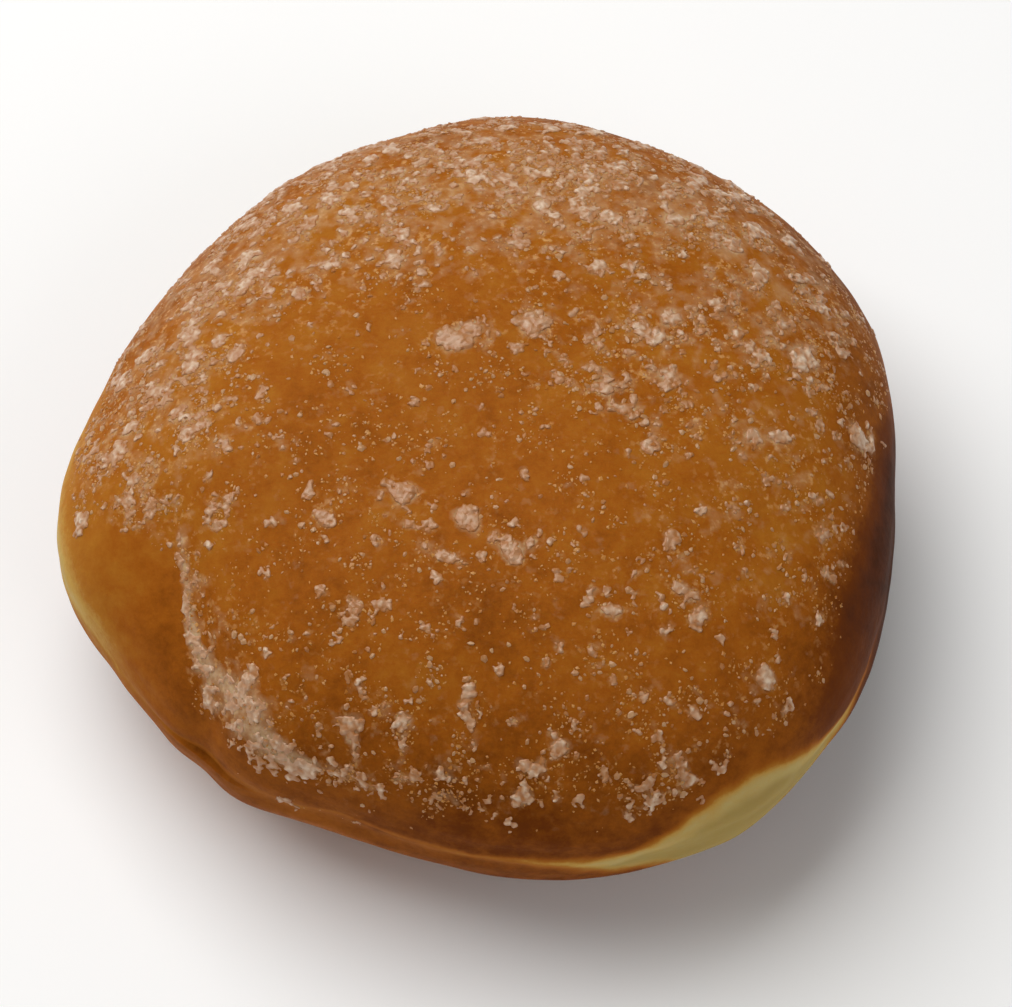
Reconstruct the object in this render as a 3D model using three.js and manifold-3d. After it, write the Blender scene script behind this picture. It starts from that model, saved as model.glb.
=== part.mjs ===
// A round beignet: one bun of fried yeast dough, about twice as wide as it is tall, with a domed
// crown, a crease across one shoulder, a shallow waist where the two fryings met, and a small
// flat foot. Lumps and grains of sugar are stuck to the crown.
// Millimetres, +Z up, +Y towards the back. The origin is on the table, under the middle of the bun.
import * as THREE from "three";
import { mergeVertices } from "three/addons/utils/BufferGeometryUtils.js";
import Module from "manifold-3d";

// Driving dimensions of the dough
const HEIGHT = 40;
const WAIST_HEIGHT = 18;
const HALF_WIDTH = 44.2;
const HALF_DEPTH = 44;
const FOOT_SINK = 3; // how far the round underside would reach below the table if it weren't flat
const FOOT_ROUNDING = 1.6; // height over which the underside turns into the flat foot
const CROWN_FULLNESS = 2.6; // 2 is an ellipse in section, and more gives a flatter top and rounder sides

// Swells and dents of the outline, seen from above: degrees from +X, spread in degrees, rise in mm
const SWELLS = [
  { at: 30, spread: 26, rise: 2.6 },
  { at: 80, spread: 28, rise: 1.9 },
  { at: 110, spread: 18, rise: -1.6 },
  { at: 147, spread: 24, rise: -2.7 },
  { at: 191, spread: 13, rise: 1.4 },
  { at: 207, spread: 7, rise: -0.6 },
  { at: 217, spread: 8, rise: -1.1 },
  { at: 227, spread: 5, rise: -1.0 },
  { at: 248, spread: 17, rise: -2.0 },
  { at: 270, spread: 16, rise: -1.5 },
  { at: 308, spread: 28, rise: 3.4 },
];

// Relief of the skin
const WAIST_GROOVE = { depth: 0.5, halfHeight: 3.0, drift: 1.6 }; // it wanders up and down by the drift
const CREASE = { from: [-33, -9], to: [-27, -34], depth: 1.0, halfWidth: 3.0 };
const UNEVENNESS = { height: 0.45, wave: 27 }; // slow humps and hollows all over

// Sugar lumps that can be told apart from a step away: middle, length, width and turn on the crown
const SUGAR_LUMPS = [
  { x: -3, y: 6, length: 4.7, width: 3.5, turn: 10 },
  { x: -1, y: 7, length: 2.5, width: 2.2, turn: 60 },
  { x: 5.5, y: 8, length: 3.5, width: 3.1, turn: 40 },
  { x: -7.5, y: -11.5, length: 3.6, width: 2.7, turn: 15 },
  { x: -1.5, y: -14.5, length: 4.3, width: 3.0, turn: -30 },
  { x: 3, y: -18, length: 3.4, width: 2.6, turn: 80 },
  { x: -9.5, y: 17, length: 3.5, width: 2.7, turn: 20 },
  { x: 27, y: 21.5, length: 3.3, width: 2.8, turn: -40 },
  { x: 20.5, y: 23, length: 3.4, width: 2.2, turn: 5 },
  { x: 20, y: 10, length: 3.3, width: 2.2, turn: 85 },
  { x: 13, y: 1, length: 4.7, width: 2.5, turn: 15 },
  { x: 15, y: -2, length: 2.5, width: 2.0, turn: 0 },
  { x: 19.5, y: 3, length: 2.7, width: 2.0, turn: -20 },
  { x: 34, y: 7.5, length: 3.5, width: 2.9, turn: 30 },
  { x: 40, y: 0.5, length: 3.3, width: 3.1, turn: 0 },
  { x: 28.5, y: -3.5, length: 3.1, width: 1.8, turn: -25 },
  { x: 29.5, y: -28.5, length: 2.8, width: 2.7, turn: 0 },
  { x: -13, y: -34, length: 3.6, width: 3.1, turn: -15 },
  { x: -8, y: -33.5, length: 2.5, width: 2.0, turn: 80 },
  { x: 4, y: -40, length: 2.9, width: 2.6, turn: 0 },
  { x: 8, y: -36.5, length: 3.3, width: 2.4, turn: 75 },
  { x: 21, y: -38, length: 2.4, width: 2.0, turn: 30 },
  { x: 13, y: -24, length: 2.9, width: 2.0, turn: -10 },
  { x: 21, y: -21.5, length: 4.8, width: 1.9, turn: -30 },
  { x: -35.5, y: 10, length: 3.4, width: 2.2, turn: 10 },
  { x: -24.5, y: 20, length: 4.1, width: 2.7, turn: 15 },
  { x: -11, y: 30, length: 3.4, width: 2.1, turn: 5 },
  { x: 7, y: 24, length: 2.7, width: 2.2, turn: 40 },
];
const LUMP_HEIGHT_SHARE = 0.42; // of a lump's width
const LUMP_SINK_SHARE = 0.35; // of a lump's height, which is below the skin
const KNOB_SPACING = 1.5; // mm of lump length for each knob in it
const KNOB_OVERLAP = 1.5; // length of a knob against its share of the lump
const KNOB_UNEVENNESS = { least: 0.82, spread: 0.32 }; // how far a knob's corners stand out from its middle

// The bank of sugar that caught along the crease
const SUGAR_BANK = { from: [-31, -13], to: [-20, -35.5], bow: -2.4, knobs: 18, size: 3.4, wander: 1.6 };

// Smaller grains, spread evenly over the crown
const GRAINS = { count: 170, reach: 0.94, smallest: 1.3, largest: 2.2, clearance: 2.6 };

const DOUGH_FINENESS = 14; // splits along each edge of the starting icosahedron
const SAME_POINT = 1e-4; // mm between corners that count as one
const SEED = 7;
const CRUST_COLOUR = 0x9e5a1c;

const wasm = await Module();
wasm.setup();

/** A repeatable stream of numbers from 0 to 1. */
function randomStream(seed) {
  let state = seed >>> 0;
  return () => {
    state = (state + 0x6d2b79f5) >>> 0;
    let mixed = Math.imul(state ^ (state >>> 15), state | 1);
    mixed ^= mixed + Math.imul(mixed ^ (mixed >>> 7), mixed | 61);
    return ((mixed ^ (mixed >>> 14)) >>> 0) / 4294967296;
  };
}

/** Radius of the bun at its waist, towards an angle in radians. */
function waistRadius(angle) {
  let radius = 1 / Math.hypot(Math.cos(angle) / HALF_WIDTH, Math.sin(angle) / HALF_DEPTH);
  for (const { at, spread, rise } of SWELLS) {
    const apart = THREE.MathUtils.euclideanModulo(THREE.MathUtils.radToDeg(angle) - at + 180, 360) - 180;
    radius += rise * Math.exp(-((apart / spread) ** 2));
  }
  return radius;
}

/** Depth of the crease at a place on the crown, fading out towards both of its ends. */
function creaseDepth(x, y) {
  const [fromX, fromY] = CREASE.from;
  const [toX, toY] = CREASE.to;
  const length = Math.hypot(toX - fromX, toY - fromY);
  const along = ((x - fromX) * (toX - fromX) + (y - fromY) * (toY - fromY)) / length ** 2;
  const aside = ((x - fromX) * (toY - fromY) - (y - fromY) * (toX - fromX)) / length;
  const fade = Math.exp(-((2 * along - 1) ** 4));
  return CREASE.depth * fade * Math.exp(-((aside / CREASE.halfWidth) ** 2));
}

/** Slow humps and hollows, as a height at a point. */
function unevenness(x, y, z) {
  const turn = (2 * Math.PI) / UNEVENNESS.wave;
  const waves =
    Math.sin(turn * (x + 0.6 * y) + 0.4) +
    Math.sin(turn * (0.8 * y - 0.5 * x + 0.4 * z) + 2.1) +
    Math.sin(turn * (0.7 * x + 0.9 * z) + 4.2);
  return (UNEVENNESS.height * waves) / 3;
}

/** Depth of the groove at the waist, at an angle and a height above the middle of the waist. */
function grooveDepth(angle, rise) {
  const drift = (WAIST_GROOVE.drift * (Math.sin(2 * angle + 0.9) + Math.sin(3 * angle + 2.6))) / 2;
  return WAIST_GROOVE.depth * Math.exp(-(((rise - drift) / WAIST_GROOVE.halfHeight) ** 2));
}

/** The larger of a height and zero, rounded where they meet. */
function roundedFoot(height) {
  const near = Math.max(FOOT_ROUNDING - Math.abs(height), 0) / FOOT_ROUNDING;
  return Math.max(height, 0) + (near ** 2 * FOOT_ROUNDING) / 4;
}

/** The point of the skin, and its outward direction, at an angle round the bun and a latitude. */
function skin(angle, latitude) {
  const radius = waistRadius(angle);
  const share = Math.cos(latitude) ** (2 / CROWN_FULLNESS);
  const reach = latitude > 0 ? HEIGHT - WAIST_HEIGHT : WAIST_HEIGHT + FOOT_SINK;
  const rise = reach * Math.sin(latitude);
  const out = (CROWN_FULLNESS * share ** (CROWN_FULLNESS - 1)) / radius;
  const up = (2 * rise) / reach ** 2;
  const normal = new THREE.Vector3(out * Math.cos(angle), out * Math.sin(angle), up).normalize();
  const point = new THREE.Vector3(
    radius * share * Math.cos(angle),
    radius * share * Math.sin(angle),
    WAIST_HEIGHT + rise,
  );
  const crease = latitude > 0 ? creaseDepth(point.x, point.y) : 0;
  const relief = unevenness(point.x, point.y, point.z) - grooveDepth(angle, rise) - crease;
  point.addScaledVector(normal, relief);
  point.z = roundedFoot(point.z);
  return { point, normal };
}

/** The skin of the crown above a place seen from above. */
function crownAt(x, y) {
  const angle = Math.atan2(y, x);
  const share = Math.min(Math.hypot(x, y) / waistRadius(angle), 1);
  return skin(angle, Math.acos(share ** (CROWN_FULLNESS / 2)));
}

/** A geometry as a solid that can be joined to others. */
function solidFrom(geometry) {
  const bare = geometry.clone();
  bare.deleteAttribute("normal");
  bare.deleteAttribute("uv");
  const merged = mergeVertices(bare, SAME_POINT);
  return new wasm.Manifold(
    new wasm.Mesh({
      numProp: 3,
      vertProperties: merged.getAttribute("position").array,
      triVerts: new Uint32Array(merged.index.array),
    }),
  );
}

/** A solid as a geometry with flat-shaded normals. */
function geometryFrom(solid) {
  const mesh = solid.getMesh();
  const geometry = new THREE.BufferGeometry();
  geometry.setAttribute("position", new THREE.BufferAttribute(mesh.vertProperties, mesh.numProp));
  geometry.setIndex(new THREE.BufferAttribute(mesh.triVerts, 1));
  geometry.computeVertexNormals();
  return geometry;
}

/** The bun without its sugar. */
function doughGeometry() {
  const geometry = new THREE.IcosahedronGeometry(1, DOUGH_FINENESS);
  const position = geometry.getAttribute("position");
  const direction = new THREE.Vector3();
  for (let i = 0; i < position.count; i++) {
    direction.fromBufferAttribute(position, i).normalize();
    const latitude = Math.asin(THREE.MathUtils.clamp(direction.z, -1, 1));
    const { point } = skin(Math.atan2(direction.y, direction.x), latitude);
    position.setXYZ(i, point.x, point.y, point.z);
  }
  return geometry;
}

/** A knob of sugar stuck to the crown: an uneven stone of a length, a width and a height. */
function sugarKnob(shape, x, y, turn, length, width, height, random) {
  const { point, normal } = crownAt(x, y);
  const geometry = shape.clone();
  const position = geometry.getAttribute("position");
  const jitter = new Map();
  for (let i = 0; i < position.count; i++) {
    const corner = [position.getX(i), position.getY(i), position.getZ(i)];
    const key = corner.map((value) => value.toFixed(3)).join();
    if (!jitter.has(key)) jitter.set(key, KNOB_UNEVENNESS.least + KNOB_UNEVENNESS.spread * random());
    position.setXYZ(i, ...corner.map((value) => value * jitter.get(key)));
  }
  const place = new THREE.Object3D();
  place.quaternion.setFromUnitVectors(new THREE.Vector3(0, 0, 1), normal);
  place.rotateZ(turn);
  place.scale.set(length / 2, width / 2, height / 2);
  place.position.copy(point).addScaledVector(normal, height * (0.5 - LUMP_SINK_SHARE));
  place.updateMatrix();
  return solidFrom(geometry.applyMatrix4(place.matrix));
}

/** The knobs of one large lump, in a row along its length with a little wander. */
function lumpKnobs({ x, y, length, width, turn }, random) {
  const count = Math.max(1, Math.round(length / KNOB_SPACING) - 1);
  const angle = THREE.MathUtils.degToRad(turn);
  const knobLength = (KNOB_OVERLAP * length) / (count + 0.5);
  return Array.from({ length: count }, (_, i) => {
    const along = (length - knobLength) * (count > 1 ? i / (count - 1) - 0.5 : 0);
    const aside = 0.2 * width * (random() - 0.5);
    const knobWidth = width * (0.75 + 0.3 * random());
    return sugarKnob(
      new THREE.IcosahedronGeometry(1, 0),
      x + along * Math.cos(angle) - aside * Math.sin(angle),
      y + along * Math.sin(angle) + aside * Math.cos(angle),
      angle,
      knobLength,
      knobWidth,
      knobWidth * LUMP_HEIGHT_SHARE,
      random,
    );
  });
}

/** The knobs of the bank of sugar along the crease. */
function bankKnobs(random) {
  const from = new THREE.Vector2(...SUGAR_BANK.from);
  const to = new THREE.Vector2(...SUGAR_BANK.to);
  const aside = new THREE.Vector2(to.y - from.y, from.x - to.x).normalize();
  return Array.from({ length: SUGAR_BANK.knobs }, (_, i) => {
    const share = i / (SUGAR_BANK.knobs - 1);
    const bow = SUGAR_BANK.bow * 4 * share * (1 - share) + SUGAR_BANK.wander * (random() - 0.5);
    const place = from.clone().lerp(to, share).addScaledVector(aside, bow);
    const size = SUGAR_BANK.size * (0.7 + 0.6 * random());
    const turn = Math.PI * random();
    const shape = new THREE.IcosahedronGeometry(1, 0);
    return sugarKnob(shape, place.x, place.y, turn, size, 0.8 * size, size * LUMP_HEIGHT_SHARE, random);
  });
}

/** Single grains in a sunflower pattern over the crown, clear of the large lumps. */
function grainKnobs(random) {
  const knobs = [];
  const goldenAngle = Math.PI * (3 - Math.sqrt(5));
  for (let i = 0; i < GRAINS.count; i++) {
    const angle = i * goldenAngle;
    const distance = waistRadius(angle) * GRAINS.reach * Math.sqrt((i + 0.5) / GRAINS.count);
    const x = distance * Math.cos(angle);
    const y = distance * Math.sin(angle);
    const size = THREE.MathUtils.lerp(GRAINS.smallest, GRAINS.largest, random() ** 2);
    const turn = Math.PI * random();
    const taken = SUGAR_LUMPS.some((lump) => Math.hypot(lump.x - x, lump.y - y) < GRAINS.clearance);
    if (taken || creaseDepth(x, y) > CREASE.depth / 4) continue;
    const shape = new THREE.OctahedronGeometry(1, 0);
    knobs.push(sugarKnob(shape, x, y, turn, size, 0.8 * size, 0.7 * size, random));
  }
  return knobs;
}

/** The outer body of a joined solid, without sealed hollows or loose scraps. */
function outerBody(solid) {
  return solid.decompose().reduce((best, body) => (body.volume() > best.volume() ? body : best));
}

/** The whole beignet as one mesh, with its bounding box centred over the origin. */
function beignetMesh() {
  const random = randomStream(SEED);
  const sugar = [
    ...SUGAR_LUMPS.flatMap((lump) => lumpKnobs(lump, random)),
    ...bankKnobs(random),
    ...grainKnobs(random),
  ];
  const joined = sugar.reduce((whole, knob) => whole.add(knob), solidFrom(doughGeometry()));
  const geometry = geometryFrom(outerBody(joined));
  geometry.computeBoundingBox();
  const middle = geometry.boundingBox.getCenter(new THREE.Vector3());
  geometry.translate(-middle.x, -middle.y, -geometry.boundingBox.min.z);
  const crust = new THREE.MeshStandardMaterial({
    name: "fried_dough",
    color: CRUST_COLOUR,
    roughness: 0.5,
    metalness: 0,
  });
  const mesh = new THREE.Mesh(geometry, crust);
  mesh.name = "beignet";
  return mesh;
}

const beignet = new THREE.Group();
beignet.add(beignetMesh());

export default beignet;
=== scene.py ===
"""A sugared beignet: a bun of fried dough, and the sugar that its crown was dipped in.

Sizes are in millimetres in the part's own frame, and they become metres when a mesh is made.
"""

import logging
import math
from collections.abc import Iterable
from dataclasses import dataclass, field
from enum import Enum

import bmesh
import bpy
import numpy as np
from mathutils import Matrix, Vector, noise
from mathutils.bvhtree import BVHTree


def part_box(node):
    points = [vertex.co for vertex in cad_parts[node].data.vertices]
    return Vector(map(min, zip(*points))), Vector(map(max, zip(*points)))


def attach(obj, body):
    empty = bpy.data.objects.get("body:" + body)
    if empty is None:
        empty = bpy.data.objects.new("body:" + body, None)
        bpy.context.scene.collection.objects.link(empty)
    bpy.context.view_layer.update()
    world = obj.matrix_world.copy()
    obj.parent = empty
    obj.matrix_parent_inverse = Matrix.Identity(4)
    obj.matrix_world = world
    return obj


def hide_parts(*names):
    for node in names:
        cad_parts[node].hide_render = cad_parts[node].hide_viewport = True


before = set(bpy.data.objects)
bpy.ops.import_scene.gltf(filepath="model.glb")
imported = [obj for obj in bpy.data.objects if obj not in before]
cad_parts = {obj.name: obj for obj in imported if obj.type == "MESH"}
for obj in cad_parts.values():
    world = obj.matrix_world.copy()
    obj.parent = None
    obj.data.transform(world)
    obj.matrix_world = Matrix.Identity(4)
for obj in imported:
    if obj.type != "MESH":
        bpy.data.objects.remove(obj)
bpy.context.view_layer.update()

NODE = "beignet"
BODY = "root"
FORM_WIDTH = 89.49  # mm across the form below, which the frame's own width is set against
METRES = (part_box(NODE)[1].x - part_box(NODE)[0].x) / FORM_WIDTH  # metres for each mm of the form
FULL_TURN = 2 * math.pi
NEARLY_UP = (0.0, 0.001, 1.0)  # just off upright, so that it isn't in line with a level skin's normal
TONE_SPREAD = 7.3  # sets neighbouring crystals far apart in the noise that gives their tones
MIX_SHARE, MIX_FROM, MIX_TO = 0, 6, 7  # the inputs of a Mix node that mixes two colours
MIX_RESULT = 2  # and its output

Array = np.ndarray
Socket = bpy.types.NodeSocket
log = logging.getLogger("beignet")


@dataclass(frozen=True)
class Span:
    """A stretch from one number to another, which may run downwards."""

    start: float
    end: float

    def at(self, share: float | Array) -> float | Array:
        """The numbers at shares of the way along."""
        return self.start + (self.end - self.start) * share

    def step(self, values: Array) -> Array:
        """A smooth step from 0 at the start to 1 at the end."""
        share = np.clip((values - self.start) / (self.end - self.start), 0, 1)
        return share * share * (3 - 2 * share)

    def drawn(self, draw: np.random.Generator, count: int | tuple[int, ...] | None = None) -> float | Array:
        """Draws one number from the stretch, or as many as are asked for."""
        return draw.uniform(self.start, self.end, size=count)

    def sockets(self, side: str) -> dict[str, float]:
        """The stretch as inputs of a range node, on its From or its To side."""
        return {f"{side} Min": self.start, f"{side} Max": self.end}


NOISE_SPAN = Span(0.3, 0.7)  # where most of the values of a noise texture lie


class Pattern(Enum):
    """The uneven patterns, each as how far along the noise it is taken from."""

    DENTS = 0.0
    COAT_PATCHES = 3.0
    COAT_EDGE = 5.0
    WANDER = 11.0
    RIPPLE = 23.0
    PEEL = 40.0
    DAMP_FOLDS = 60.0
    WAIST_FOLDS = 80.0


def linear(hex_colour: str) -> tuple[float, float, float, float]:
    """Turns an sRGB hex colour into the linear RGBA that shaders take.

    Args:
        hex_colour: Six hex digits after a hash sign.

    Returns:
        Red, green, blue and an alpha of one.
    """
    shares = [int(hex_colour[i : i + 2], 16) / 255 for i in (1, 3, 5)]
    red, green, blue = ((s / 12.92) if s <= 0.04045 else ((s + 0.055) / 1.055) ** 2.4 for s in shares)
    return red, green, blue, 1.0


def per_metre(size: float) -> float:
    """The scale of a pattern whose features are a size in millimetres apart."""
    return 1 / METRES / size


def add_node(
    tree: bpy.types.NodeTree,
    kind: str,
    inputs: dict[str | int, object],
    stops: tuple[tuple[float, str], ...] = (),
    **settings: object,
) -> bpy.types.Node:
    """Adds a shader node with its settings, and fills or links its inputs.

    Args:
        tree: The node tree of a material.
        kind: The node's type, without the ShaderNode in front.
        inputs: For each input, a socket to link to it or a value to set on it.
        stops: Places and hex colours of a colour ramp.
        settings: Options of the node itself.

    Returns:
        The new node.
    """
    node = tree.nodes.new(f"ShaderNode{kind}")
    for name, value in settings.items():
        setattr(node, name, value)
    for name, value in inputs.items():
        if isinstance(value, Socket):
            tree.links.new(value, node.inputs[name])
        else:
            node.inputs[name].default_value = value
    if stops:
        ramp = node.color_ramp.elements
        ramp.remove(ramp[1])
        ramp[0].position, ramp[0].color = stops[0][0], linear(stops[0][1])
        for place, hex_colour in stops[1:]:
            ramp.new(place).color = linear(hex_colour)
    return node


def new_material(name: str) -> tuple[bpy.types.Material, bpy.types.NodeTree]:
    """Makes an empty material.

    Args:
        name: The material's name.

    Returns:
        The material and its empty node tree.
    """
    material = bpy.data.materials.new(name)
    material.use_nodes = True
    material.node_tree.nodes.clear()
    return material, material.node_tree


def mark_corners(piece: bpy.types.Object, **values: Array) -> None:
    """Writes a number on each corner of a piece.

    Args:
        piece: The piece.
        values: The numbers, under the name that the material reads.
    """
    for key, numbers in values.items():
        attribute = piece.data.attributes.new(key, "FLOAT", "POINT")
        attribute.data.foreach_set("value", numbers.astype(np.float32).ravel())


def new_piece(name: str, vertices: Array, faces: Array, smooth: bool) -> bpy.types.Object:
    """Makes a mesh object from arrays.

    Args:
        name: The piece's name.
        vertices: Corners in millimetres, three numbers each.
        faces: Corner numbers, all rows with the same count.
        smooth: Whether the faces are shaded as one smooth skin.

    Returns:
        The new object, in the scene.
    """
    mesh = bpy.data.meshes.new(name)
    count, sides = faces.shape
    mesh.vertices.add(len(vertices))
    mesh.vertices.foreach_set("co", (vertices * METRES).astype(np.float32).ravel())
    mesh.loops.add(count * sides)
    mesh.loops.foreach_set("vertex_index", faces.astype(np.int32).ravel())
    mesh.polygons.add(count)
    mesh.polygons.foreach_set("loop_start", np.arange(0, count * sides, sides, dtype=np.int32))
    mesh.polygons.foreach_set("use_smooth", np.full(count, smooth))
    mesh.update(calc_edges=True)
    piece = bpy.data.objects.new(name, mesh)
    bpy.context.scene.collection.objects.link(piece)
    return piece


def unevenness(points: Array, size: float, pattern: Pattern) -> Array:
    """Smooth lumps and hollows from about -1 to 1.

    Args:
        points: Places in millimetres.
        size: Millimetres from one lump to the next.
        pattern: Which of the patterns it is.

    Returns:
        The height at each place.
    """
    return np.array([noise.noise(Vector(place)) for place in points / size + pattern.value])


def crystal_cells(points: Array, size: float) -> tuple[Array, Array]:
    """Splits space into cells about as big as a crystal.

    Args:
        points: Places to look at.
        size: How far apart the cells' middles are.

    Returns:
        A tone for each place that is the same all over its cell, from about -0.5 to 0.5, and how far
        the place lies from its cell's edge, as a share of the size.
    """
    cells = [noise.voronoi(Vector(place)) for place in points / size]
    tones = [noise.noise(TONE_SPREAD * middles[0]) for _, middles in cells]
    inside = [distances[1] - distances[0] for distances, _ in cells]
    return np.array(tones), np.array(inside)


@dataclass(frozen=True)
class Swell:
    """A rise or a dip round the bun: degrees from +X, spread in degrees, and how much."""

    at: float
    spread: float
    rise: float


@dataclass(frozen=True)
class Patch:
    """A soft patch on the crown seen from above: its middle, its reach both ways, and how much."""

    x: float
    y: float
    reach_x: float
    reach_y: float
    rise: float


@dataclass(frozen=True)
class Wave:
    """A slow wave through the dough: how fast it runs along x, y and z, and where it starts."""

    along: tuple[float, float, float]
    start: float


def swell_sum(angle: Array, swells: Iterable[Swell]) -> Array:
    """Adds up swells.

    Args:
        angle: Angles round the bun, in radians.
        swells: The swells.

    Returns:
        The sum at each angle.
    """
    total = np.zeros_like(angle)
    for swell in swells:
        apart = (np.degrees(angle) - swell.at + 180) % 360 - 180
        total += swell.rise * np.exp(-((apart / swell.spread) ** 2))
    return total


def patch_sum(x: Array, y: Array, patches: Iterable[Patch]) -> Array:
    """Adds up patches.

    Args:
        x: Places seen from above, in the form's own x.
        y: The same places in the form's own y.
        patches: The patches.

    Returns:
        The sum at each place.
    """
    total = np.zeros_like(x)
    for patch in patches:
        distance = ((x - patch.x) / patch.reach_x) ** 2 + ((y - patch.y) / patch.reach_y) ** 2
        total += patch.rise * np.exp(-distance)
    return total


@dataclass(frozen=True)
class FriedCrust:
    """Yeast dough fried in oil: a thin satin crust, browned where it lay deepest.

    The eye gets one warm colour that runs from cream at the waist, which stayed above the oil,
    through gold to chestnut, with a soft greasy sheen and a dull film where sugar has melted.
    """

    browning: tuple[tuple[float, str], ...] = (
        (0.0, "#bfa769"),
        (0.22, "#c2984a"),
        (0.38, "#ae7022"),
        (0.55, "#9d5713"),
        (0.72, "#6e3507"),
        (0.88, "#592b10"),
        (1.0, "#44210e"),
    )
    detail: float = 3.0  # octaves of each noise that has no number of its own
    blotch_mm: float = 11.0
    blotch_browning: Span = Span(-0.04, 0.04)
    mottle_mm: float = 3.2
    mottle_browning: Span = Span(-0.085, 0.085)
    mottle_detail: float = 6.0
    mottle_roughness: float = 0.8
    moist_colour: str = "#a58c4e"
    film_colour: str = "#c6a47e"
    film_strength: float = 0.85
    film_blotch_mm: float = 1.8
    film_blotch: Span = Span(-0.3, 0.3)
    film_detail: float = 5.0
    film_haze: Span = Span(0.3, 1.1)  # how thick the film is, from its first haze to its full strength
    film_grain: Span = Span(0.55, 1.25)
    fleck_colour: str = "#c8935a"
    fleck_strength: float = 0.9
    fleck_mm: float = 0.7
    fleck_edge: Span = Span(0.55, 0.68)
    fleck_patch_mm: float = 4.0
    fleck_patch_edge: Span = Span(0.4, 0.62)
    fleck_film: Span = Span(0.08, 0.3)  # how thick the film is where the flecks set in
    peel_mm: float = 1.1
    peel_height_mm: float = 0.07
    wrinkle_mm: float = 0.7
    wrinkle_stretch: float = 5.0
    wrinkle_height_mm: float = 0.04
    wrinkle_detail: float = 2.0
    roughness: Span = Span(0.46, 0.66)
    ior: float = 1.45
    gloss: float = 0.035
    glow: float = 0.35
    glow_mm: tuple[float, float, float] = (1.6, 0.7, 0.25)  # how far red, green and blue stray inside

    def browned(self, tree: bpy.types.NodeTree, place: Socket, mottle: Socket) -> Socket:
        """Adds the colour of the bare crust.

        Args:
            tree: The material's node tree.
            place: Where a point lies on the piece.
            mottle: The noise that mottles the crust.

        Returns:
            The colour.
        """
        uneven = NOISE_SPAN.sockets("From")
        broad = {"Vector": place, "Detail": self.detail, "Scale": per_metre(self.blotch_mm)}
        blotch = add_node(tree, "TexNoise", broad).outputs[0]
        slow = add_node(tree, "MapRange", {"Value": blotch, **uneven, **self.blotch_browning.sockets("To")})
        fine = add_node(tree, "MapRange", {"Value": mottle, **uneven, **self.mottle_browning.sockets("To")})
        browning = add_node(tree, "Attribute", {}, attribute_name="browning").outputs["Fac"]
        shade = add_node(tree, "Math", {0: slow.outputs[0], 1: fine.outputs[0]}, operation="ADD")
        shade = add_node(tree, "Math", {0: shade.outputs[0], 1: browning}, operation="ADD")
        crust = add_node(tree, "ValToRGB", {"Fac": shade.outputs[0]}, stops=self.browning).outputs[0]
        moist = add_node(tree, "Attribute", {}, attribute_name="moist").outputs["Fac"]
        colours = {MIX_SHARE: moist, MIX_FROM: crust, MIX_TO: linear(self.moist_colour)}
        return add_node(tree, "Mix", colours, data_type="RGBA").outputs[MIX_RESULT]

    def sugared(self, tree: bpy.types.NodeTree, place: Socket, crust: Socket) -> Socket:
        """Adds the amber flecks and the dull film of melted sugar over a colour.

        Args:
            tree: The material's node tree.
            place: Where a point lies on the piece.
            crust: The colour of the bare crust.

        Returns:
            The colour with both.
        """
        film = add_node(tree, "Attribute", {}, attribute_name="film").outputs["Fac"]
        fine = {"Vector": place, "Detail": self.detail, "Scale": per_metre(self.fleck_mm)}
        grain = add_node(tree, "TexNoise", fine).outputs[0]
        speck = add_node(tree, "MapRange", {"Value": grain, **self.fleck_edge.sockets("From")})
        broad = {"Vector": place, "Detail": self.detail, "Scale": per_metre(self.fleck_patch_mm)}
        crowd = add_node(tree, "TexNoise", broad).outputs[0]
        edge = {**self.fleck_patch_edge.sockets("From"), "To Max": self.fleck_strength}
        crowd = add_node(tree, "MapRange", {"Value": crowd, **edge})
        sweet = add_node(tree, "MapRange", {"Value": film, **self.fleck_film.sockets("From")})
        fleck = add_node(tree, "Math", {0: speck.outputs[0], 1: crowd.outputs[0]}, operation="MULTIPLY")
        fleck = add_node(tree, "Math", {0: fleck.outputs[0], 1: sweet.outputs[0]}, operation="MULTIPLY")
        colours = {MIX_SHARE: fleck.outputs[0], MIX_FROM: crust, MIX_TO: linear(self.fleck_colour)}
        flecked = add_node(tree, "Mix", colours, data_type="RGBA").outputs[MIX_RESULT]
        uneven = NOISE_SPAN.sockets("From")
        smeary = {"Vector": place, "Detail": self.film_detail, "Scale": per_metre(self.film_blotch_mm)}
        patchy = add_node(tree, "TexNoise", smeary).outputs[0]
        ragged = add_node(tree, "MapRange", {"Value": patchy, **uneven, **self.film_blotch.sockets("To")})
        ragged = add_node(tree, "Math", {0: film, 1: ragged.outputs[0]}, operation="ADD")
        full = {**self.film_haze.sockets("From"), "To Max": self.film_strength}
        haze = add_node(tree, "MapRange", {"Value": ragged.outputs[0], **full})
        grainy = add_node(tree, "MapRange", {"Value": grain, **uneven, **self.film_grain.sockets("To")})
        haze = add_node(tree, "Math", {0: haze.outputs[0], 1: grainy.outputs[0]}, operation="MULTIPLY")
        colours = {MIX_SHARE: haze.outputs[0], MIX_FROM: flecked, MIX_TO: linear(self.film_colour)}
        return add_node(tree, "Mix", colours, data_type="RGBA").outputs[MIX_RESULT]

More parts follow.
